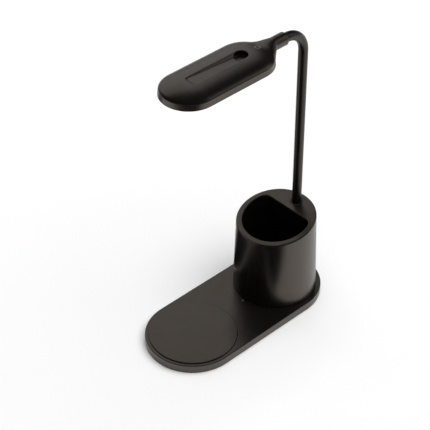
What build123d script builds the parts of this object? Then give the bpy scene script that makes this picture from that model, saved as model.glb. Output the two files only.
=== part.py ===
from build123d import *
import math
import os

os.makedirs("parts", exist_ok=True)

# Desk lamp on a flat charging base, with a pen cup that also carries the stem.
# Millimetres. The origin is on the table under the middle of the base, +Z is up,
# +X runs along the base from the charging pad to the cup.

# Clearances shared by many pieces
overrun = 1.0
seat_gap = 0.1
cover_gap = 0.15
running_gap = 0.05
thread_gap = 0.05
screw_gap = 0.2
wire_gap = 0.3
touching = 0.001
edge_test_shares = (0, 0.3, 0.7)

# Turns, in degrees
quarter_turn = 90
half_turn = 180

# Charging inlet in the back wall of the base, which sets the height of the base
inlet_width = 8.94
inlet_height = 3.26
inlet_depth = 7.3
inlet_metal = 0.3
inlet_recess = 0.3
inlet_room = 0.47
tongue_width = 6.7
tongue_thickness = 0.7
tongue_length = 4.4

# Base covers
base_width = 80.0
bridge = 22.5
base_wall = 1.6
base_skin = 1.5
base_edge_round = 0.6
cover_thickness = 1.2

# Feet and the cover screws that they hide
foot_radius = 6.0
foot_stand = 0.8
foot_recess = 0.5
foot_edge_round = 0.3
post_share = 0.6875
post_angle = 70.0
post_radius = 3.2
seat_radius = 4.2
seat_web = 0.9
cover_screw_head_radius = 2.0
cover_screw_head_height = 0.9
cover_screw_radius = 1.0
cover_screw_length = 2.6

# Drive recess of every screw
drive_sides = 6
drive_share = 0.5
drive_depth_share = 0.5

# Charging pad, coil and shield
pad_inset = 3.0
pad_proud = 0.9
pad_recess = 0.7
pad_edge_round = 0.4
coil_wire = 1.0
coil_turns = 7
coil_inner_share = 0.4565
coil_lead_bend = 4.0
coil_gap_samples = 24
shield_thickness = 0.8
shield_margin = 0.7
shield_bore = 7.0
shield_gap = 0.3
shield_rest_inset = 5.0
shield_rest_width = 1.4

# Control board and what stands on it
board_length = 30.0
board_depth = 50.0
board_thickness = 0.8
board_drop = 0.25
board_gap = 0.4
pillar_radius = 1.6
pillar_inset = 3.0
chip_size = 5.0
chip_height = 0.9
choke_size = 6.0
choke_height = 1.9
capacitor_length = 3.2
capacitor_width = 1.6
capacitor_height = 1.2
terminal_length = 3.0
terminal_width = 9.0
lead_plug_length = 4.0
lead_plug_width = 5.0
lamp_chip_size = 1.6
lamp_chip_height = 0.6
chip_place_shares = (-0.22, 0.10)
choke_place_shares = (0.22, 0.12)
capacitor_row_share = -0.36
capacitor_place_shares = (-0.15, 0.0, 0.15)

# Indicator light in the base's top, just clear of the cup
indicator_radius = 0.75
indicator_gap = 2.3
indicator_flange = 0.8
indicator_flange_height = 0.6

# Ballast under the cup
ballast_thickness = 2.0
ballast_inset = 1.0

# Pen cup: an outer wall with a sloping deck, and a liner that stands under the deck
cup_inset = 4.3
cup_taper = 2.2
cup_height = 70.9
cup_wall = 2.0
cup_rim_slope = 9.15
cup_rim_round = 1.0
cup_foot_round = 0.5
deck_thickness = 2.4
rim_width = 5.2
mouth_corner = 6.0
mouth_round = 0.8
liner_wall = 1.6
liner_floor = 2.0
column_radius = 3.2
column_angle = 42.0
column_gap = 0.6
key_width = 8.0
cup_screw_head_radius = 2.4
cup_screw_head_height = 1.3
cup_screw_radius = 1.3
cup_screw_length = 6.0

# Stem socket and deck bush
socket_wall = 3.0
socket_gap = 0.55
socket_liner_gap = 1.75
socket_height = 28.0
socket_floor = 1.6
ear_radius = 3.6
ear_height = 6.0
washer_thickness = 0.8
washer_width = 1.2
bush_wall = 1.6
bush_drop = 4.0

# Stem tube and the cable inside it
tube_radius = 4.0
tube_wall = 1.25
arm_height = 251.9
bend_radius = 19.7
bare_run = 2.55
cable_radius = 1.1
lead_radius = 0.9
lead_bend = 2.0
grommet_flange = 0.6
grommet_flange_width = 0.7
grommet_length = 4.0

# Stop screws: each tip runs in a part-round groove that sets the joint's range
swivel_limit = 90.0
turn_limit = 90.0
stop_margin = 3.0
groove_depth = 0.7
stop_tip_radius = 0.8
stop_tip_gap = 0.15
stop_screw_radius = 1.2
stop_screw_sink = 0.2
swivel_stop_height = 14.0
turn_stop_inset = 5.0

# Lamp head outline and crown
head_width = 46.7
head_spacing = 56.6
parting_drop = 0.65
bezel_depth = 4.3
bezel_draft = 0.45
bezel_edge_round = 0.5
crown_height = 6.2
crown_flat = 2.0
shell_wall = 1.8

# Neck of the head: a shoulder that draws in to a round sleeve
sleeve_wall = 1.45
sleeve_reach = 18.35
sleeve_edge_round = 0.3
neck_overlap = 9.9
neck_length = 16.0
neck_width_share = 0.955
neck_power = 1.1
neck_steps = 6
neck_drop = 0.1
neck_belly = 6.0
neck_sink = 0.15
neck_web = 4.6
neck_gap = 0.15
neck_blend = 25.0

# Recess along the top of the head, which deepens to a round well
slot_width = 11.0
slot_tip_inset = 0.1
slot_tip_margin = 0.4
slot_root_inset = 1.45
slot_tip_depth = 0.6
slot_root_depth = 2.6
slot_slope = 45.0
slot_skin = 1.2
well_depth = 3.8

# Light: diffuser, board, chips and their fixings
bezel_wall = 1.6
lip_width = 1.6
lip_height = 0.6
diffuser_thickness = 1.0
diffuser_inset = 0.2
skirt_width = 1.4
skirt_rise = 1.0
light_gap = 0.15
light_chip_length = 3.5
light_chip_width = 2.8
light_chip_height = 0.4
light_chip_count = 9
light_row_share = 0.38
light_board_gap = 1.6
light_board_thickness = 0.8
boss_radius = 2.4
boss_inset = 4.0
boss_row_share = 0.7
head_screw_head_radius = 1.7
head_screw_radius = 0.8
head_screw_length = 2.6
cable_plug_length = 4.0
cable_plug_width = 3.2

# Touch switch under the neck's ridge
touch_inset = 8.5
touch_size = 10.0
touch_board_thickness = 0.8
touch_skin = 3.1
touch_spring_radius = 1.8
touch_spring_wire = 0.4

# Heights in the base
base_low = foot_stand
cover_top = base_low + cover_thickness
ceiling = cover_top + inlet_height + 2 * inlet_room
base_top = ceiling + base_skin
head_seat = base_low + foot_recess + seat_gap + cover_screw_head_height
post_low = head_seat + seat_web
inlet_z = (cover_top + ceiling) / 2
board_low = inlet_z - inlet_height / 2 + board_drop
board_top = board_low + board_thickness
coil_z = ceiling - coil_wire / 2
shield_top = ceiling - coil_wire
shield_low = shield_top - shield_thickness
lead_z = ceiling - seat_gap - lead_radius

# Places along the base
base_radius = base_width / 2
pad_radius = base_radius - pad_inset
cup_foot_radius = base_radius - cup_inset
cup_rim_radius = cup_foot_radius - cup_taper
end_spacing = pad_radius + bridge + cup_foot_radius
pad_x = -end_spacing / 2
cup_x = end_spacing / 2
post_circle = base_radius * post_share
indicator_x = cup_x - cup_foot_radius - indicator_gap
board_back = base_radius - base_wall - board_gap
board_y = board_back - board_depth / 2
board_start = indicator_x - board_length / 2
board_end = indicator_x + board_length / 2

# The coil fills the shield, which fits between the posts
shield_reach = post_circle - seat_radius - shield_gap
coil_inner_radius = shield_reach * coil_inner_share
coil_room = shield_reach - shield_margin - coil_wire / 2 - coil_inner_radius
coil_pitch = coil_room / coil_turns
shield_rest_radius = shield_reach - shield_rest_inset

# The cup and the stem beside its mouth
socket_bore = tube_radius + running_gap
socket_radius = socket_bore + socket_wall
stem_offset = cup_rim_radius - cup_wall - socket_gap - socket_radius
stem_x = cup_x + stem_offset
mouth_radius = cup_rim_radius - rim_width
mouth_flat = stem_offset - socket_radius - socket_liner_gap - liner_wall
bush_radius = socket_bore + bush_wall
stem_low = base_top + socket_floor + washer_thickness
column_circle = cup_rim_radius - cup_wall - column_radius
column_aside = column_circle * math.sin(math.radians(column_angle))
ear_reach = column_aside - column_radius - column_gap - ear_radius
rim_z = base_top + cup_height
rim_plane = Plane((cup_x, 0, rim_z)).rotated((0, -cup_rim_slope, 0))
deck_plane = rim_plane.offset(-deck_thickness)

# The head, placed back from the stem's bend
head_half = head_width / 2
dome_half = head_half - bezel_draft
sleeve_radius = socket_bore + sleeve_wall
neck_chord = math.sqrt(dome_half ** 2 - (dome_half - neck_overlap) ** 2)
sleeve_end = stem_x - bend_radius - bare_run
dome_end = sleeve_end - sleeve_reach
neck_x = dome_end - dome_half
tip_x = neck_x - head_spacing
head_x = (neck_x + tip_x) / 2
bore_end = dome_end + neck_web
tube_end = bore_end + wire_gap + grommet_flange
touch_x = dome_end - touch_inset
turn_stop_x = sleeve_end - turn_stop_inset

# Heights in the head
parting_z = arm_height - parting_drop
crown_top = parting_z + crown_height
bezel_low = parting_z - bezel_depth
diffuser_low = bezel_low + lip_height
diffuser_top = diffuser_low + diffuser_thickness
light_board_low = diffuser_top + light_gap + light_chip_height
light_board_top = light_board_low + light_board_thickness
crown_share = (dome_half - neck_overlap - crown_flat) / (dome_half - crown_flat)
crown_level_share = math.sqrt(1 - crown_share ** 2)
neck_top = parting_z + crown_height * crown_level_share - neck_drop
neck_slope = crown_height * crown_share / crown_level_share / (dome_half - crown_flat)
neck_low = bezel_low - neck_belly
parting_share = (2 * parting_z - neck_top - neck_low) / (neck_top - neck_low)
neck_half_width = neck_chord * neck_width_share / math.sqrt(1 - parting_share ** 2)
seat_half = head_half - bezel_wall
skirt_half = seat_half - cover_gap
light_board_half = skirt_half - skirt_width - light_board_gap
well_floor = crown_top - well_depth
touch_roof = crown_top - touch_skin
cable_plug_end = touch_x - touch_size / 2
cable_plug_start = cable_plug_end - cable_plug_length

upright = (Align.CENTER, Align.CENTER, Align.MIN)


def rod(radius, low, high, x=0, y=0):
    """Upright cylinder between two heights"""
    return Pos(x, y, low) * Cylinder(radius, high - low, align=upright)


def bar(radius, start, end):
    """Cylinder along X between two places"""
    return Pos(start, 0, 0) * Rot(0, quarter_turn, 0) * Cylinder(radius, end - start, align=upright)


def slab(face, low, high):
    """Upright prism of a flat face between two heights"""
    return extrude(Pos(0, 0, low) * face, amount=high - low)


def block(length, width, low, high, x=0, y=0):
    """Upright box between two heights"""
    return Pos(x, y, low) * Box(length, width, high - low, align=upright)


def base_plan(inset):
    """Outline of the base, drawn in by an inset"""
    return SlotCenterToCenter(end_spacing, base_width - 2 * inset)


def head_plan(half_width):
    """Outline of the head at a half width"""
    return Pos(head_x, 0) * SlotCenterToCenter(head_spacing, 2 * half_width)


def rim(grow):
    """Drafted band of the head below its parting plane, grown outward"""
    angle = math.degrees(math.atan(bezel_draft / bezel_depth))
    return extrude(Pos(0, 0, bezel_low) * head_plan(head_half + grow), amount=bezel_depth, taper=angle)


def mouth_plan(grow):
    """Outline of the cup's mouth: round, with a flat beside the stem"""
    reach = mouth_radius + grow
    flat = mouth_flat + grow
    beyond = Pos(flat + reach, 0) * Rectangle(2 * reach, 2 * reach)
    outline = Circle(reach) - beyond
    return Pos(cup_x, 0) * fillet(outline.vertices(), mouth_corner + grow)


def post_places():
    """Centres of the four cover posts, with the feet under them"""
    along = post_circle * math.cos(math.radians(post_angle))
    aside = post_circle * math.sin(math.radians(post_angle))
    return [(x, y) for x in (pad_x - along, cup_x + along) for y in (-aside, aside)]


def pillar_places():
    """Centres of the four pillars under the board's corners"""
    along = board_length / 2 - pillar_inset
    aside = board_depth / 2 - pillar_inset
    return [(indicator_x + i * along, board_y + j * aside) for i in (-1, 1) for j in (-1, 1)]


def column_places():
    """Centres of the two columns inside the cup's wall"""
    along = cup_x + column_circle * math.cos(math.radians(column_angle))
    return [(along, -column_aside), (along, column_aside)]


def cup_screw_places():
    """Two screws into the cup's columns and two into the socket's ears"""
    return column_places() + [(stem_x, -ear_reach), (stem_x, ear_reach)]


def boss_places():
    """Centres of the bosses that carry the light board"""
    aside = light_board_half * boss_row_share
    return [(x, y) for x in (tip_x + boss_inset, neck_x - boss_inset) for y in (-aside, aside)]


def screw(head_radius, head_height, radius, length):
    """Screw with its head below the origin and its shank above"""
    drive = RegularPolygon(head_radius * drive_share, drive_sides)
    recess = slab(drive, -head_height - overrun, -head_height * (1 - drive_depth_share))
    return rod(head_radius, -head_height, 0) + rod(radius, 0, length) - recess


def base_top_cover():
    body = slab(base_plan(0), base_low, base_top)
    body = fillet(body.faces().sort_by(Axis.Z)[-1].edges(), base_edge_round)
    body -= slab(base_plan(base_wall), base_low - overrun, ceiling)
    screw_end = head_seat + cover_screw_length + seat_gap
    for x, y in post_places():
        body += rod(post_radius, post_low, ceiling + base_skin / 2, x, y)
        body -= rod(cover_screw_radius + thread_gap, base_low, screw_end, x, y)
    body -= rod(pad_radius + seat_gap, base_top - pad_recess, base_top + overrun, pad_x)
    body -= rod(indicator_radius + thread_gap, base_low, base_top + overrun, indicator_x)
    body -= rod(cable_radius + wire_gap, base_low, base_top + overrun, stem_x)
    for x, y in cup_screw_places():
        body -= rod(cup_screw_radius + screw_gap, base_low, base_top + overrun, x, y)
    body -= cup_key(seat_gap)
    return body - inlet_prism(seat_gap, base_radius - base_wall - overrun, base_radius + overrun)


def base_lower_cover():
    body = slab(base_plan(base_wall + cover_gap), base_low, cover_top)
    rest = rod(shield_rest_radius + shield_rest_width / 2, base_low, shield_low, pad_x)
    rest -= rod(shield_rest_radius - shield_rest_width / 2, cover_top, shield_low + overrun, pad_x)
    notch_low = shield_top - coil_wire - wire_gap
    rest -= block(base_radius, coil_wire + 2 * wire_gap, notch_low, ceiling, pad_x + base_radius / 2)
    body += rest
    for x, y in pillar_places():
        body += rod(pillar_radius, base_low, board_low, x, y)
    for x, y in post_places():
        body += rod(seat_radius, base_low, post_low, x, y)
        body -= rod(foot_radius + cover_gap, base_low - overrun, base_low + foot_recess, x, y)
        body -= rod(cover_screw_head_radius + screw_gap, base_low, head_seat, x, y)
        body -= rod(cover_screw_radius + screw_gap, base_low, post_low + overrun, x, y)
    return body


def rubber_feet():
    feet = Part()
    for x, y in post_places():
        foot = rod(foot_radius, 0, base_low + foot_recess, x, y)
        feet += fillet(foot.edges().group_by(Axis.Z)[0], foot_edge_round)
    return feet


def base_screws():
    one = screw(cover_screw_head_radius, cover_screw_head_height, cover_screw_radius, cover_screw_length)
    return Part() + [Pos(x, y, head_seat) * one for x, y in post_places()]


def charging_pad():
    pad = rod(pad_radius, base_top - pad_recess, base_top + pad_proud, pad_x)
    return fillet(pad.edges().group_by(Axis.Z)[-1], pad_edge_round)


def coil_path():
    """Flat spiral of half turns, then a quarter turn and a straight lead to the board"""
    arcs = []
    for step in range(2 * coil_turns):
        radius = coil_inner_radius + step * coil_pitch / 2
        centre = (pad_x + step % 2 * coil_pitch / 2, 0, coil_z)
        arcs.append(CenterArc(centre, radius, half_turn * (step % 2), half_turn))
    outer = arcs[-1] @ 1
    turn = CenterArc((outer.X + coil_lead_bend, 0, coil_z), coil_lead_bend, half_turn, -quarter_turn)
    lead = Line(turn @ 1, (board_start, (turn @ 1).Y, coil_z))
    return arcs + [turn, lead]


def coil_self_gap(arcs):
    """Least gap between one turn of the coil and the next, measured on points"""
    points = [arc @ (k / coil_gap_samples) for arc in arcs for k in range(coil_gap_samples)]
    turn = 2 * coil_gap_samples
    spans = [(p - q).length for i, p in enumerate(points) for q in points[i + turn // 2:]]
    return min(spans) - coil_wire


def charging_coil():
    path = coil_path()
    print("coil gap", round(coil_self_gap(path[:-2]), 3))
    start = path[0] @ 0
    section = Plane(start, z_dir=path[0] % 0) * Circle(coil_wire / 2)
    return sweep(section, path=Wire(path))


def coil_return():
    inner = pad_x + coil_inner_radius
    wire = bar(coil_wire / 2, inner - coil_wire / 2, board_start)
    return Pos(0, 0, shield_top - coil_wire / 2) * wire


def ferrite_shield():
    disc = rod(shield_reach, shield_low, shield_top, pad_x)
    disc -= rod(shield_bore, shield_low, shield_top, pad_x)
    groove = coil_wire + 2 * wire_gap
    return disc - block(shield_reach, groove, shield_low, shield_top, pad_x + shield_reach / 2)


def charger_board():
    plate = block(board_length, board_depth, board_low, board_top, indicator_x, board_y)
    notch_width = inlet_width + 2 * seat_gap
    notch_depth = inlet_depth + inlet_recess - base_wall - board_gap + seat_gap
    return plate - block(notch_width, 2 * notch_depth, board_low, board_top, indicator_x, board_back)


def board_components():
    chip_x, chip_y = chip_place_shares
    choke_x, choke_y = choke_place_shares
    chip = block(chip_size, chip_size, board_top, board_top + chip_height,
                 indicator_x + board_length * chip_x, board_y + board_depth * chip_y)
    choke = block(choke_size, choke_size, board_top, board_top + choke_height,
                  indicator_x + board_length * choke_x, board_y + board_depth * choke_y)
    terminal = block(terminal_length, terminal_width, board_top, ceiling - seat_gap,
                     board_start + terminal_length / 2, coil_lead_bend / 2)
    lead_plug = block(lead_plug_length, lead_plug_width, board_top, ceiling - seat_gap,
                      board_end - lead_plug_length / 2)
    lamp_chip = block(lamp_chip_size, lamp_chip_size, board_top, board_top + lamp_chip_height, indicator_x)
    pieces = [chip, choke, terminal, lead_plug, lamp_chip]
    capacitor_y = board_y + board_depth * capacitor_row_share
    for place in capacitor_place_shares:
        capacitor_x = indicator_x + board_length * place
        pieces.append(block(capacitor_length, capacitor_width, board_top, board_top + capacitor_height,
                            capacitor_x, capacitor_y))
    return Part() + pieces


def inlet_prism(grow, start, end):
    """Round-ended prism of the inlet's outline, along Y"""
    outline = SlotOverall(inlet_width + 2 * grow, inlet_height + 2 * grow)
    plane = Plane((indicator_x, start, inlet_z), x_dir=(-1, 0, 0), z_dir=(0, 1, 0))
    return extrude(plane * outline, amount=end - start)


def inlet_shell():
    mouth = base_radius - inlet_recess
    back = mouth - inlet_depth
    return inlet_prism(0, back, mouth) - inlet_prism(-inlet_metal, back + inlet_metal, mouth + overrun)


def inlet_tongue():
    mouth = base_radius - inlet_recess
    back = mouth - inlet_depth + inlet_metal
    root = mouth - tongue_length - inlet_recess
    holder = inlet_prism(-inlet_metal - seat_gap, back, root)
    low = inlet_z - tongue_thickness / 2
    tongue_y = root + tongue_length / 2
    return holder + block(tongue_width, tongue_length, low, low + tongue_thickness, indicator_x, tongue_y)


def indicator_lens():
    stalk = rod(indicator_radius, ceiling - indicator_flange_height, base_top, indicator_x)
    flange_radius = indicator_radius + indicator_flange
    return stalk + rod(flange_radius, ceiling - indicator_flange_height, ceiling, indicator_x)


def ballast_plate():
    reach = base_radius - base_wall - cover_gap - ballast_inset
    plate = rod(reach, cover_top, cover_top + ballast_thickness, cup_x)
    cut = board_end + ballast_inset
    plate -= block(2 * reach, 2 * reach, cover_top, ceiling, cut - reach)
    for x, y in post_places():
        plate -= rod(seat_radius + wire_gap, cover_top, ceiling, x, y)
    groove = 2 * (lead_radius + wire_gap)
    groove_low = lead_z - lead_radius - wire_gap
    return plate - block(stem_x, groove, groove_low, ceiling, stem_x / 2 + groove)


def cup_radius(height):
    """Outer radius of the cup's tapering wall at a height"""
    fall = (cup_foot_radius - cup_rim_radius) / cup_height
    return cup_foot_radius - fall * (height - base_top)


def cup_cone(inset, low, cut):
    """Tapering round body of the cup up to a sloping plane"""
    high = rim_z + cup_height / 2
    bottom = cup_radius(low) - inset
    top = cup_radius(high) - inset
    body = Pos(cup_x, 0, low) * Cone(bottom, top, high - low, align=upright)
    return split(body, bisect_by=cut, keep=Keep.BOTTOM)


def cup_key(grow):
    """Key under the cup's wall that drops into the base's top"""
    place = cup_x - cup_foot_radius + cup_wall / 2
    length = cup_wall / 2 + 2 * grow
    return block(length, key_width + 2 * grow, ceiling - grow, base_top + overrun, place)


def edges_on(body, plane):
    """Edges of a body that lie in a plane, shortest first"""
    def off(edge):
        return max(abs(plane.to_local_coords(edge @ share).Z) for share in edge_test_shares)
    return body.edges().filter_by(lambda edge: off(edge) < touching).sort_by(SortBy.LENGTH)


def cup_shell():
    body = cup_cone(0, base_top, rim_plane)
    body = fillet(edges_on(body, rim_plane), cup_rim_round)
    body = fillet(edges_on(body, Plane((0, 0, base_top))), cup_foot_round)
    body -= slab(mouth_plan(0), base_top - overrun, 2 * rim_z)
    body = fillet(edges_on(body, rim_plane)[:-1], mouth_round)
    body -= cup_cone(cup_wall, base_top - overrun, deck_plane)
    inside = cup_cone(cup_wall / 2, base_top, deck_plane.offset(deck_thickness / 2))
    screw_end = ceiling + cup_screw_length + seat_gap
    for x, y in column_places():
        body += rod(column_radius, base_top, 2 * rim_z, x, y) & inside
        body -= rod(cup_screw_radius + thread_gap, base_top - overrun, screw_end, x, y)
    body += cup_key(0)
    return body - rod(bush_radius + thread_gap, base_top, 2 * rim_z, stem_x)


def cup_liner():
    body = slab(mouth_plan(liner_wall), base_top, 2 * rim_z)
    body -= slab(mouth_plan(0), base_top + liner_floor, 2 * rim_z + overrun)
    return split(body, bisect_by=deck_plane, keep=Keep.BOTTOM)


def cup_screws():
    one = screw(cup_screw_head_radius, cup_screw_head_height, cup_screw_radius, cup_screw_length)
    return Part() + [Pos(x, y, ceiling) * one for x, y in cup_screw_places()]


def stem_bush():
    rise = stem_offset * math.tan(math.radians(cup_rim_slope))
    low = rim_z + rise - deck_thickness - bush_drop
    ring = rod(bush_radius, low, 2 * rim_z, stem_x) - rod(socket_bore, base_top, 2 * rim_z, stem_x)
    return split(ring, bisect_by=rim_plane, keep=Keep.BOTTOM)


def stop_groove(limit):
    """Part-round groove about Z, centred on +X, for a stop screw's tip"""
    tip_room = stop_tip_radius + stop_tip_gap
    tip_angle = math.degrees(math.asin(tip_room / (tube_radius - groove_depth)))
    reach = limit + tip_angle + stop_margin
    section = Plane.XZ * Pos(tube_radius, 0) * Rectangle(2 * groove_depth, 2 * tip_room)
    return Rot(0, 0, -reach) * revolve(section, axis=Axis.Z, revolution_arc=2 * reach)


def stop_hole(outer):
    """Threaded hole along +X for a stop screw"""
    return bar(stop_screw_radius + thread_gap, tube_radius - groove_depth, outer + overrun)


def stop_screw(outer):
    """Headless screw along +X, with a narrow tip that runs in the tube's groove"""
    end = outer - stop_screw_sink
    tip_end = tube_radius - groove_depth + stop_tip_gap
    shoulder = socket_bore + stop_tip_gap
    drive = RegularPolygon(stop_screw_radius * drive_share, drive_sides)
    recess = slab(drive, 0, stop_screw_radius * drive_depth_share)
    body = bar(stop_screw_radius, shoulder, end) + bar(stop_tip_radius, tip_end, shoulder)
    return body - Pos(end, 0, 0) * Rot(0, -quarter_turn, 0) * recess


swivel_stop_place = Pos(stem_x, 0, base_top + swivel_stop_height) * Rot(0, 0, quarter_turn)
turn_stop_place = Pos(turn_stop_x, 0, arm_height) * Rot(0, quarter_turn, 0)


def stem_socket():
    ears = Pos(stem_x, 0) * SlotCenterToCenter(2 * ear_reach, 2 * ear_radius, rotation=quarter_turn)
    body = rod(socket_radius, base_top, base_top + socket_height, stem_x)
    body += slab(ears, base_top, base_top + ear_height)
    body -= rod(socket_bore, base_top + socket_floor, base_top + socket_height + overrun, stem_x)
    body -= rod(cable_radius + wire_gap, base_top - overrun, base_top + socket_height, stem_x)
    for side in (-1, 1):
        depth = ceiling + cup_screw_length + seat_gap
        body -= rod(cup_screw_radius + thread_gap, base_top - overrun, depth, stem_x, side * ear_reach)
    return body - swivel_stop_place * stop_hole(socket_radius)


def stem_washer():
    inner = tube_radius - washer_width
    low = base_top + socket_floor
    return rod(tube_radius, low, stem_low, stem_x) - rod(inner, low, stem_low, stem_x)


def swivel_stop_screw():
    return swivel_stop_place * stop_screw(socket_radius)


def arm_rod(radius, low, end):
    """Round bar up the stem, round its bend and along the arm"""
    corner = (stem_x, 0, arm_height)
    path = FilletPolyline((stem_x, 0, low), corner, (end, 0, arm_height), radius=bend_radius)
    return sweep(Pos(stem_x, 0, low) * Circle(radius), path=path)


def stem_tube():
    body = arm_rod(tube_radius, stem_low, tube_end)
    body -= arm_rod(tube_radius - tube_wall, stem_low - overrun, tube_end - overrun)
    body -= swivel_stop_place * stop_groove(swivel_limit)
    return body - turn_stop_place * stop_groove(turn_limit)


def lamp_cable():
    return arm_rod(cable_radius, base_top + socket_floor, cable_plug_end)


def base_lead():
    start = (board_end, 0, lead_z)
    corner = (stem_x, 0, lead_z)
    path = FilletPolyline(start, corner, (stem_x, 0, base_top + socket_floor), radius=lead_bend)
    return sweep(Plane(start, z_dir=(1, 0, 0)) * Circle(lead_radius), path=path)


def tube_grommet():
    bore = tube_radius - tube_wall
    ring = bar(bore - thread_gap, tube_end - grommet_flange, tube_end + grommet_length)
    ring += bar(bore + grommet_flange_width, tube_end - grommet_flange, tube_end)
    ring -= bar(cable_radius + thread_gap, tube_end - overrun, tube_end + grommet_length + overrun)
    return Pos(0, 0, arm_height) * ring


def crown(half, height):
    """Head above its parting plane: an elliptical shoulder all round a flat top"""
    shoulder = EllipticalCenterArc((crown_flat, 0), half - crown_flat, height, arc_size=quarter_turn)
    profile = make_face([shoulder] + Polyline((crown_flat, height), (0, height), (0, 0), (half, 0)).edges())
    other = mirror(profile, about=Plane.YZ)
    at_tip = Plane((tip_x, 0, parting_z), x_dir=(0, 1, 0), z_dir=(1, 0, 0))
    at_neck = Plane((neck_x, 0, parting_z), x_dir=(0, 1, 0), z_dir=(1, 0, 0))
    middle = extrude(at_tip * (profile + other), amount=head_spacing)
    tip = revolve(at_tip * profile, axis=Axis((tip_x, 0, 0), (0, 0, 1)), revolution_arc=half_turn)
    root = revolve(at_neck * other, axis=Axis((neck_x, 0, 0), (0, 0, 1)), revolution_arc=half_turn)
    return middle + tip + root


def neck_section(along_share):
    """Oval across the neck: it leaves the crown along its slope and is round where the sleeve starts"""
    wide_share = (1 - along_share) ** neck_power
    head_share = (1 + math.cos(math.pi * along_share)) / 2
    sleeve_share = 1 - head_share
    half_width = neck_half_width * wide_share + sleeve_radius * (1 - wide_share)
    run = neck_length * along_share
    top = (neck_top - neck_slope * run) * head_share + (arm_height + sleeve_radius) * sleeve_share
    low = neck_low * head_share + (arm_height - sleeve_radius) * sleeve_share
    x = dome_end - neck_overlap + run
    plane = Plane((x, 0, (top + low) / 2), x_dir=(0, 1, 0), z_dir=(1, 0, 0))
    return plane * Ellipse(half_width, (top - low) / 2)


def neck_half(keep):
    """Tapering neck above or below the parting plane, level with the bezel underneath"""
    body = loft([neck_section(step / neck_steps) for step in range(neck_steps + 1)])
    drop = bezel_low - arm_height + sleeve_radius + neck_sink
    fall = math.degrees(math.atan(drop / (neck_length - neck_overlap)))
    underside = Plane((dome_end, 0, bezel_low)).rotated((0, fall, 0))
    body = split(body, bisect_by=underside, keep=Keep.TOP)
    return split(body, bisect_by=Plane((0, 0, parting_z)), keep=keep)


def blended_top():
    """Crown and upper half of the neck, with a blend along their seam"""
    top = crown(dome_half, crown_height)
    upper = neck_half(Keep.TOP)
    body = top + upper
    seam = new_edges(top, upper, combined=body)
    return fillet(seam.sort_by(lambda edge: edge.bounding_box().max.Z)[-1], neck_blend)


def sleeve():
    """Tube on the neck's end that holds the stem"""
    body = bar(sleeve_radius, dome_end - neck_overlap + neck_length, sleeve_end)
    return Pos(0, 0, arm_height) * fillet(body.edges().group_by(Axis.X)[-1], sleeve_edge_round)


def slot_hollow(grow):
    """Space of the recess in the head's top, or its walls when grown"""
    start = tip_x + slot_tip_inset
    end = neck_x + slot_root_inset
    half = slot_width / 2
    corner = slot_root_depth + slot_tip_margin
    well_x = end - half
    length = well_x - start + grow
    plan = Pos(well_x - length / 2, 0) * Rectangle(length, slot_width + 2 * grow)
    plan = fillet(plan.vertices().group_by(Axis.X)[0], corner + grow)
    plan += Pos(well_x, 0) * Circle(half + grow)
    top = Pos(0, 0, crown_top) * plan
    ramp = extrude(top, amount=slot_root_depth + grow, dir=(0, 0, -1), taper=slot_slope)
    fall = math.degrees(math.atan((slot_root_depth - slot_tip_depth) / (end - start)))
    floor = Plane((start, 0, crown_top - slot_tip_depth - grow)).rotated((0, fall, 0))
    ramp = split(ramp, bisect_by=floor, keep=Keep.TOP) + slab(plan, crown_top, crown_top + overrun)
    return ramp + rod(half + grow, well_floor - grow, crown_top + overrun, well_x)


def cable_way():
    """Hole along the arm's axis for the cable, from the bore into the head"""
    return Pos(0, 0, arm_height) * bar(cable_radius + wire_gap, cable_plug_end, tube_end)


def touch_box(grow, low, high):
    """Square space under the touch mark"""
    return block(touch_size + 2 * grow, touch_size + 2 * grow, low, high, touch_x)


def head_shell():
    body = blended_top() + sleeve() + (neck_half(Keep.BOTTOM) - rim(neck_gap))
    body -= crown(dome_half - shell_wall, crown_height - shell_wall)
    inside = crown(dome_half - shell_wall / 2, crown_height - shell_wall / 2)
    body += slot_hollow(slot_skin) & inside
    screw_end = light_board_low + head_screw_length + seat_gap
    for x, y in boss_places():
        body += rod(boss_radius, light_board_top, crown_top, x, y) & inside
        body -= rod(head_screw_radius + thread_gap, bezel_low, screw_end, x, y)
    skirt = slab(head_plan(skirt_half), diffuser_top + seat_gap, parting_z + skirt_rise)
    body += skirt - slab(head_plan(skirt_half - skirt_width), bezel_low, crown_top)
    body -= slot_hollow(0)
    body -= Pos(0, 0, arm_height) * bar(socket_bore, bore_end, sleeve_end + overrun)
    body -= touch_box(seat_gap, parting_z, touch_roof)
    body -= cable_way()
    return body - turn_stop_place * stop_hole(sleeve_radius)


def head_bezel():
    body = rim(0)
    body = fillet(edges_on(body, Plane((0, 0, bezel_low))), bezel_edge_round)
    body -= slab(head_plan(seat_half - lip_width), bezel_low - overrun, diffuser_low)
    body -= slab(head_plan(seat_half), diffuser_low, parting_z + overrun)
    return body - cable_way()


def diffuser():
    body = slab(head_plan(seat_half - cover_gap), diffuser_low, diffuser_top)
    window = head_plan(seat_half - lip_width - cover_gap)
    return body + slab(window, bezel_low + diffuser_inset, diffuser_low)


def light_board():
    body = slab(head_plan(light_board_half), light_board_low, light_board_top)
    notch = cable_plug_width + 2 * seat_gap
    notch_x = cable_plug_start - seat_gap + head_width / 2
    body -= block(head_width, notch, light_board_low, light_board_top, notch_x)
    for x, y in boss_places():
        body -= rod(head_screw_radius + screw_gap, bezel_low, crown_top, x, y)
    return body


def light_chips():
    chips = Part()
    for side in (-1, 1):
        for step in range(light_chip_count):
            x = tip_x + head_spacing * step / (light_chip_count - 1)
            chips += block(light_chip_length, light_chip_width, light_board_low - light_chip_height,
                           light_board_low, x, side * light_board_half * light_row_share)
    return chips


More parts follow.
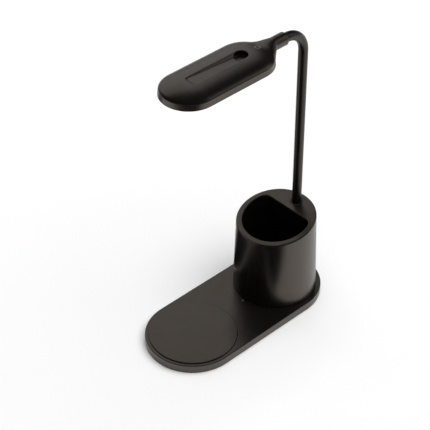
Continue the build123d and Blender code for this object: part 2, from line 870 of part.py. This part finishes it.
def head_screws():
    one = screw(head_screw_head_radius, light_chip_height, head_screw_radius, head_screw_length)
    return Part() + [Pos(x, y, light_board_low) * one for x, y in boss_places()]


def cable_plug():
    middle = (cable_plug_start + cable_plug_end) / 2
    low = diffuser_top + seat_gap
    return block(cable_plug_length, cable_plug_width, low, arm_height + cable_radius, middle)


def touch_board():
    return touch_box(0, touch_roof - touch_board_thickness, touch_roof)


def touch_spring():
    aside = cable_plug_width / 2 + 2 * seat_gap + touch_spring_radius
    high = touch_roof - touch_board_thickness
    ring = rod(touch_spring_radius, light_board_top, high, touch_x, aside)
    return ring - rod(touch_spring_radius - touch_spring_wire, light_board_top, high, touch_x, aside)


def turn_stop_screw():
    return turn_stop_place * stop_screw(sleeve_radius)


base_makers = [
    base_top_cover, base_lower_cover, rubber_feet, base_screws, charging_pad, charging_coil, coil_return,
    ferrite_shield, charger_board, board_components, inlet_shell, inlet_tongue, indicator_lens,
    ballast_plate, cup_shell, cup_liner, cup_screws, stem_bush, stem_socket, stem_washer,
    swivel_stop_screw, base_lead,
]
arm_makers = [stem_tube, lamp_cable, tube_grommet]
head_makers = [
    head_shell, head_bezel, diffuser, light_board, light_chips, head_screws, cable_plug, touch_board,
    touch_spring, turn_stop_screw,
]
for make in base_makers + arm_makers + head_makers:
    export_step(make(), f"parts/{make.__name__}.step")
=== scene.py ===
import math

import bmesh
import bpy
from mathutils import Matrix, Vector
from mathutils.bvhtree import BVHTree


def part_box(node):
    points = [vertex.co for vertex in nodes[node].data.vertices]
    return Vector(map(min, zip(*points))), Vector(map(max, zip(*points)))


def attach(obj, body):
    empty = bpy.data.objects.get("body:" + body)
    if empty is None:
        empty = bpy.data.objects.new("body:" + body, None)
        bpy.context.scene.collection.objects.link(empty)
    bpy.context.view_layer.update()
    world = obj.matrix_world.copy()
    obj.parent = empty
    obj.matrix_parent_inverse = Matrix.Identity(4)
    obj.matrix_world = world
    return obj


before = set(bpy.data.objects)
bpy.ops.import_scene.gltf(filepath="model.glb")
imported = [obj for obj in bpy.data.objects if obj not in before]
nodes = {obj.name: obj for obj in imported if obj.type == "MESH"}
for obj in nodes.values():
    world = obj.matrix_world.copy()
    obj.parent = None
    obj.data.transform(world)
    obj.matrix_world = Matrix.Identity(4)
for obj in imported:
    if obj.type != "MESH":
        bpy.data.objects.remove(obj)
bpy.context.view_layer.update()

# Metres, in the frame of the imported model: +X from the charging pad to the cup, +Z up.
# The camera's lens and sensor alone are in millimetres.
CAMERA_PLACE = Vector((-0.64412, -0.65999, 0.85184))
CAMERA_TARGET = Vector((-0.03150, -0.00938, 0.12952))
CAMERA_LENS = 123.33
CAMERA_SENSOR = 36.0
CAMERA_NEAR = 0.05
CAMERA_FAR = 60.0

# The touch ring's section, as radii and heights over the shell, its shift from the board under it,
# and how far above the board the rays start that find the shell's top
RING_STEPS = 72
RING_SHIFT = Vector((-0.0015, 0.0, 0.0))
RING_LOOPS = ((0.0018, -0.00005), (0.0018, 0.00003), (0.00185, 0.00005), (0.00225, 0.00005),
              (0.0023, 0.00003), (0.0023, -0.00005))
RING_RAY = Vector((0.0, 0.0, 0.1))

# Gloss of plastic, paint and rubber, and the rubbed and softened edges
PLASTIC_IOR = 1.6
PLASTIC_SPECULAR = 0.8
PAINT_SPECULAR = 0.6
RUBBER_SPECULAR = 0.3
WARM_TINT = (1.0, 0.85, 0.73, 1.0)
RUBBED_TONE = (0.008, 0.0073, 0.0066)
RUBBED_SHARE = 0.6
RUBBED_POINTINESS = (0.51, 0.56)
HEAD_EDGE = 0.0015
EDGE_SAMPLES = 8

# Tones that serve twice, dark and pale
SHELL_TONES = ((0.0019, 0.0017, 0.0015), (0.0028, 0.0025, 0.0022))
PRINT_TONES = ((0.17, 0.165, 0.155), (0.22, 0.215, 0.20))

# Floor, and the outlines of the dark cards as seen from above, with their heights. The cards show only in
# reflections, where they paint dark reflections
FLOOR_HALF = 30.0
FRONT_CARD_HEIGHT = 0.010
FRONT_CARD = ((0.006, -0.0415), (-0.035, -0.40), (-0.35, -1.3), (-1.3, -1.0), (-0.75, -0.10), (-0.50, 0.06),
              (-0.09, 0.05), (-0.0895, 0.0), (-0.077, -0.031), (-0.0476, -0.0415))
BACK_CARD_HEIGHT = 0.002
BACK_CARD = ((0.04, 0.048), (-0.09, 0.048), (-0.09, 0.10), (-0.05, 0.16), (-0.30, 0.42), (-0.30, 0.62),
             (-0.10, 0.62), (0.04, 0.14))

# Sockets of a colour mix node
MIX_SHARE = 0
MIX_FIRST = 6
MIX_SECOND = 7
MIX_RESULT = 2


class Look:
    """A material under construction: its node tree, its shader and the object's coordinates"""

    def __init__(self, name):
        self.material = bpy.data.materials.new(name)
        self.material.use_nodes = True
        self.tree = self.material.node_tree
        self.shader = self.tree.nodes["Principled BSDF"]
        self.place = self.tree.nodes.new("ShaderNodeTexCoord").outputs["Object"]

    def node(self, kind, **values):
        made = self.tree.nodes.new(kind)
        for key, value in values.items():
            setattr(made, key, value)
        return made

    def feed(self, made, socket, source):
        """Link a socket to a source, or set it to a plain value"""
        if isinstance(source, bpy.types.NodeSocket):
            self.tree.links.new(source, made.inputs[socket])
        else:
            made.inputs[socket].default_value = source

    def noise(self, scale, detail=3.0, roughness=0.55, stretch=None):
        """Noise at a number of cells per metre"""
        place = self.place
        if stretch is not None:
            mapping = self.node("ShaderNodeMapping")
            self.feed(mapping, "Vector", place)
            self.feed(mapping, "Scale", stretch)
            place = mapping.outputs["Vector"]
        made = self.node("ShaderNodeTexNoise")
        self.feed(made, "Vector", place)
        self.feed(made, "Scale", scale)
        self.feed(made, "Detail", detail)
        self.feed(made, "Roughness", roughness)
        return made.outputs["Fac"]

    def cells(self, scale, feature="F1"):
        """Cell pattern at a number of cells per metre"""
        made = self.node("ShaderNodeTexVoronoi", feature=feature)
        self.feed(made, "Vector", self.place)
        self.feed(made, "Scale", scale)
        return made.outputs["Distance"]

    def between(self, source, low=0.0, high=1.0, start=0.3, end=0.7):
        """A number from low to high as the source goes from start to end"""
        made = self.node("ShaderNodeMapRange")
        self.feed(made, "Value", source)
        self.feed(made, "From Min", start)
        self.feed(made, "From Max", end)
        self.feed(made, "To Min", low)
        self.feed(made, "To Max", high)
        return made.outputs["Result"]

    def mix(self, share, first, second):
        """One colour turning into another"""
        made = self.node("ShaderNodeMix", data_type="RGBA")
        self.feed(made, MIX_SHARE, share)
        for socket, colour in ((MIX_FIRST, first), (MIX_SECOND, second)):
            self.feed(made, socket, colour if isinstance(colour, bpy.types.NodeSocket) else (*colour, 1.0))
        return made.outputs[MIX_RESULT]

    def clouds(self, dark, pale, scale, detail):
        """Soft clouds of two colours"""
        return self.mix(self.between(self.noise(scale, detail)), dark, pale)

    def times(self, first, second):
        made = self.node("ShaderNodeMath", operation="MULTIPLY")
        self.feed(made, 0, first)
        self.feed(made, 1, second)
        return made.outputs[0]

    def bump(self, height, distance, soft=None):
        """Bump of a depth in metres, over edges softened by a radius in metres"""
        made = self.node("ShaderNodeBump")
        if soft is not None:
            edge = self.node("ShaderNodeBevel", samples=EDGE_SAMPLES)
            self.feed(edge, "Radius", soft)
            self.feed(made, "Normal", edge.outputs["Normal"])
        self.feed(made, "Distance", distance)
        self.feed(made, "Height", height)
        self.feed(self.shader, "Normal", made.outputs["Normal"])

    def worn_edge(self):
        """Nearly nothing on flat areas, rising on outer edges"""
        start, end = RUBBED_POINTINESS
        return self.between(self.node("ShaderNodeNewGeometry").outputs["Pointiness"], start=start, end=end)

    def set(self, **values):
        """Set the shader's sockets, named with _ for each space, and give the finished material"""
        for key, value in values.items():
            self.feed(self.shader, key.replace("_", " "), value)
        return self.material


def moulded(name, dark, pale, rough=(0.28, 0.34), grain=5200.0, depth=0.00001, wear=RUBBED_TONE, soft=None):
    """Satin moulded plastic with a fine spark-eroded grain, faint clouding and rubbed edges"""
    look = Look(name)
    colour = look.clouds(dark, pale, scale=38.0, detail=4.0)
    colour = look.mix(look.times(look.worn_edge(), RUBBED_SHARE), colour, wear)
    look.bump(look.noise(grain, detail=2.0), depth, soft)
    return look.set(Base_Color=colour, Roughness=look.between(look.noise(scale=150.0, detail=4.0), *rough),
                    IOR=PLASTIC_IOR, Specular_IOR_Level=PLASTIC_SPECULAR, Specular_Tint=WARM_TINT)


def painted(name, dark, pale):
    """Powder coat: a fine orange peel over metal"""
    look = Look(name)
    look.bump(look.noise(scale=1400.0, detail=2.0, roughness=0.4), distance=0.00002)
    return look.set(Base_Color=look.clouds(dark, pale, scale=60.0, detail=4.0),
                    Roughness=look.between(look.noise(scale=240.0, detail=3.0), low=0.3, high=0.38),
                    Specular_IOR_Level=PAINT_SPECULAR, Specular_Tint=WARM_TINT)


def metal(name, dark, pale, rough=(0.25, 0.4)):
    """Bare metal with drawn lines"""
    look = Look(name)
    lines = look.noise(scale=900.0, detail=4.0, roughness=0.6, stretch=(1.0, 1.0, 14.0))
    look.bump(lines, distance=0.000006)
    return look.set(Base_Color=look.mix(look.between(lines), dark, pale), Metallic=1.0,
                    Roughness=look.between(look.noise(scale=420.0, detail=3.0), *rough))


def rubber(name, dark, pale):
    """Matt rubber with a dusty grain"""
    look = Look(name)
    grain = look.noise(scale=3000.0, detail=3.0, roughness=0.7)
    look.bump(grain, distance=0.00003)
    return look.set(Base_Color=look.clouds(dark, pale, scale=180.0, detail=4.0),
                    Roughness=look.between(grain, low=0.7, high=0.9), Specular_IOR_Level=RUBBER_SPECULAR)


def mask(name, dark, pale):
    """Printed board: solder mask with faint tracks under it"""
    look = Look(name)
    tracks = look.cells(scale=620.0, feature="DISTANCE_TO_EDGE")
    look.bump(tracks, distance=0.00002)
    return look.set(Base_Color=look.mix(look.between(tracks, start=0.03, end=0.12), pale, dark),
                    Roughness=look.between(look.noise(scale=900.0, detail=2.0), low=0.3, high=0.45))


def milky(name, dark, pale):
    """Milky sheet with a fine prismatic grain that scatters light"""
    look = Look(name)
    grain = look.cells(scale=1500.0)
    look.bump(grain, distance=0.00003)
    return look.set(Base_Color=look.clouds(dark, pale, scale=60.0, detail=3.0),
                    Roughness=look.between(grain, low=0.4, high=0.6, start=0.0, end=0.7),
                    Subsurface_Weight=0.25, Subsurface_Radius=(0.002, 0.002, 0.0018))


def assign(material, *names):
    for name in names:
        mesh = nodes[name].data
        mesh.materials.clear()
        mesh.materials.append(material)


# Casings and plastic pieces
assign(moulded("satin_black_shell", *SHELL_TONES),
       "base_top_cover", "cup_shell", "cup_liner", "head_bezel")
assign(moulded("satin_black_head", *SHELL_TONES, soft=HEAD_EDGE), "head_shell")
assign(moulded("satin_black_under", (0.008, 0.008, 0.0075), (0.011, 0.0105, 0.010),
               rough=(0.55, 0.65), grain=3600.0), "base_lower_cover")
assign(moulded("smooth_black_pad", (0.0022, 0.0020, 0.0018), (0.0031, 0.0028, 0.0025),
               rough=(0.28, 0.33), grain=7000.0, depth=0.000008), "charging_pad")
assign(moulded("dark_nylon", (0.010, 0.010, 0.010), (0.014, 0.014, 0.0135), rough=(0.5, 0.6), grain=3000.0),
       "stem_bush", "stem_socket", "stem_washer")
assign(moulded("black_insert", (0.006, 0.006, 0.006), (0.009, 0.009, 0.009),
               rough=(0.45, 0.55), grain=4000.0), "inlet_tongue")
assign(moulded("component_mould", (0.010, 0.010, 0.0105), (0.016, 0.016, 0.017), rough=(0.45, 0.6)),
       "board_components")
assign(moulded("natural_nylon", (0.62, 0.60, 0.54), (0.74, 0.72, 0.66), rough=(0.4, 0.5), grain=3000.0,
               wear=(0.8, 0.78, 0.72)), "cable_plug")

# Paint, rubber and metal
assign(painted("black_powder_coat", (0.0020, 0.0018, 0.0016), (0.0029, 0.0026, 0.0023)), "stem_tube")
assign(rubber("matt_rubber", (0.010, 0.010, 0.010), (0.017, 0.017, 0.0165)), "rubber_feet", "tube_grommet")
assign(rubber("cable_jacket", (0.008, 0.008, 0.008), (0.012, 0.012, 0.012)), "lamp_cable", "base_lead")
assign(metal("zinc_steel", (0.42, 0.42, 0.43), (0.62, 0.62, 0.63)),
       "base_screws", "cup_screws", "head_screws", "swivel_stop_screw", "turn_stop_screw", "inlet_shell",
       "touch_spring")
assign(metal("bare_iron", (0.20, 0.20, 0.21), (0.33, 0.33, 0.34), rough=(0.4, 0.6)), "ballast_plate")
assign(metal("enamelled_copper", (0.52, 0.22, 0.10), (0.68, 0.33, 0.17), rough=(0.2, 0.3)),
       "charging_coil", "coil_return")
assign(rubber("sintered_ferrite", (0.018, 0.018, 0.019), (0.03, 0.03, 0.031)), "ferrite_shield")

# Boards and light
assign(mask("green_mask", (0.006, 0.050, 0.018), (0.015, 0.095, 0.035)), "charger_board", "touch_board")
assign(mask("white_mask", (0.80, 0.80, 0.78), (0.66, 0.66, 0.64)), "light_board")
assign(milky("milky_diffuser", (0.84, 0.84, 0.80), (0.90, 0.90, 0.87)), "diffuser")
assign(milky("smoked_lens", (0.16, 0.16, 0.154), (0.21, 0.21, 0.203)), "indicator_lens")
assign(milky("phosphor_chip", (0.80, 0.62, 0.10), (0.88, 0.72, 0.20)), "light_chips")


def touch_ring():
    """Printed ring over the touch switch, laid on the head's top"""
    tree = BVHTree.FromObject(nodes["head_shell"], bpy.context.evaluated_depsgraph_get())
    low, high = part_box("touch_board")
    middle = (Vector(low) + Vector(high)) / 2 + RING_SHIFT
    made = bmesh.new()
    loops = []
    for radius, lift in RING_LOOPS:
        loop = []
        for step in range(RING_STEPS):
            angle = 2 * math.pi * step / RING_STEPS
            above = middle + RING_RAY + Vector((radius * math.cos(angle), radius * math.sin(angle), 0.0))
            place = tree.ray_cast(above, -RING_RAY)[0]
            loop.append(made.verts.new(place + Vector((0.0, 0.0, lift))))
        loops.append(loop)
    for first, second in zip(loops, loops[1:] + loops[:1]):
        for step in range(RING_STEPS):
            after = (step + 1) % RING_STEPS
            made.faces.new((first[step], first[after], second[after], second[step]))
    bmesh.ops.recalc_face_normals(made, faces=made.faces)
    mesh = bpy.data.meshes.new("touch_ring")
    made.to_mesh(mesh)
    made.free()
    ring = bpy.data.objects.new("touch_ring", mesh)
    bpy.context.scene.collection.objects.link(ring)
    mesh.materials.append(moulded("pale_print", *PRINT_TONES, rough=(0.4, 0.5), wear=PRINT_TONES[0]))
    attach(ring, "head")


def aim(made, place, target):
    """Stand a lamp or the camera at a place, looking at a target"""
    made.location = Vector(place)
    made.rotation_mode = "QUATERNION"
    made.rotation_quaternion = (Vector(target) - Vector(place)).to_track_quat("-Z", "Y")
    bpy.context.scene.collection.objects.link(made)


def place_camera():
    data = bpy.data.cameras.new("camera")
    data.sensor_width = CAMERA_SENSOR
    data.lens = CAMERA_LENS
    data.clip_start = CAMERA_NEAR
    data.clip_end = CAMERA_FAR
    camera = bpy.data.objects.new("camera", data)
    aim(camera, CAMERA_PLACE, CAMERA_TARGET)
    bpy.context.scene.camera = camera


def soft_box(name, place, target, size, strength):
    """Soft studio lamp of a size in metres"""
    data = bpy.data.lights.new(name, "AREA")
    data.shape = "RECTANGLE"
    data.size, data.size_y = size
    data.energy = strength
    aim(bpy.data.objects.new(name, data), place, target)


def day_light(place, target, strength, spread):
    """Even light from high up, with soft shadows, left out of reflections"""
    data = bpy.data.lights.new("day", "SUN")
    data.energy = strength
    data.angle = math.radians(spread)
    lamp = bpy.data.objects.new("day", data)
    lamp.visible_glossy = False
    aim(lamp, place, target)


def flat_piece(name, corners, height, material):
    """Flat piece of the studio, which isn't part of the lamp"""
    mesh = bpy.data.meshes.new(name)
    mesh.from_pydata([(x, y, height) for x, y in corners], [], [range(len(corners))])
    mesh.materials.append(material)
    made = bpy.data.objects.new(name, mesh)
    bpy.context.scene.collection.objects.link(made)
    return made


def floor():
    """Pale sweep under the lamp"""
    look = Look("pale_floor")
    look.set(Base_Color=look.clouds((0.90, 0.90, 0.90), (0.92, 0.92, 0.92), scale=3.0, detail=3.0),
             Roughness=0.9, Specular_IOR_Level=0.1)
    corners = [(-FLOOR_HALF, -FLOOR_HALF), (FLOOR_HALF, -FLOOR_HALF), (FLOOR_HALF, FLOOR_HALF),
               (-FLOOR_HALF, FLOOR_HALF)]
    flat_piece("floor", corners, 0.0, look.material)


def dark_reflection_flag(corners, height):
    """Dark card near the floor, seen only in reflections, where it paints a dark reflection into glossy
    surfaces
    """
    look = Look("painted_dark_reflection")
    look.set(Base_Color=look.mix(look.noise(scale=600.0), (0.002, 0.002, 0.002), (0.004, 0.004, 0.004)),
             Specular_IOR_Level=0.0)
    made = flat_piece("dark_reflection_flag", corners, height, look.material)
    made.visible_camera = False
    made.visible_diffuse = False
    made.visible_shadow = False


def world_light(level):
    """Faint even light from all round"""
    world = bpy.data.worlds.new("studio")
    world.use_nodes = True
    back = world.node_tree.nodes["Background"]
    back.inputs["Color"].default_value = (1.0, 1.0, 1.0, 1.0)
    back.inputs["Strength"].default_value = level
    bpy.context.scene.world = world


touch_ring()
place_camera()
floor()
world_light(level=0.03)
soft_box("back", place=(0.35, 1.0, 0.90), target=(0.0, 0.0, 0.15), size=(1.35, 1.0), strength=2.95)
soft_box("right", place=(1.6, -0.95, 1.25), target=(0.03, 0.0, 0.12), size=(1.2, 1.4), strength=3.5)
day_light(place=(0.25, -0.45, 1.75), target=(0.0, 0.0, 0.0), strength=3.15, spread=70.0)
# Two dark cards that paint dark reflections into the lamp's glossy surfaces and show nowhere else
dark_reflection_flag(FRONT_CARD, FRONT_CARD_HEIGHT)
dark_reflection_flag(BACK_CARD, BACK_CARD_HEIGHT)

bpy.context.scene.view_settings.view_transform = "Standard"
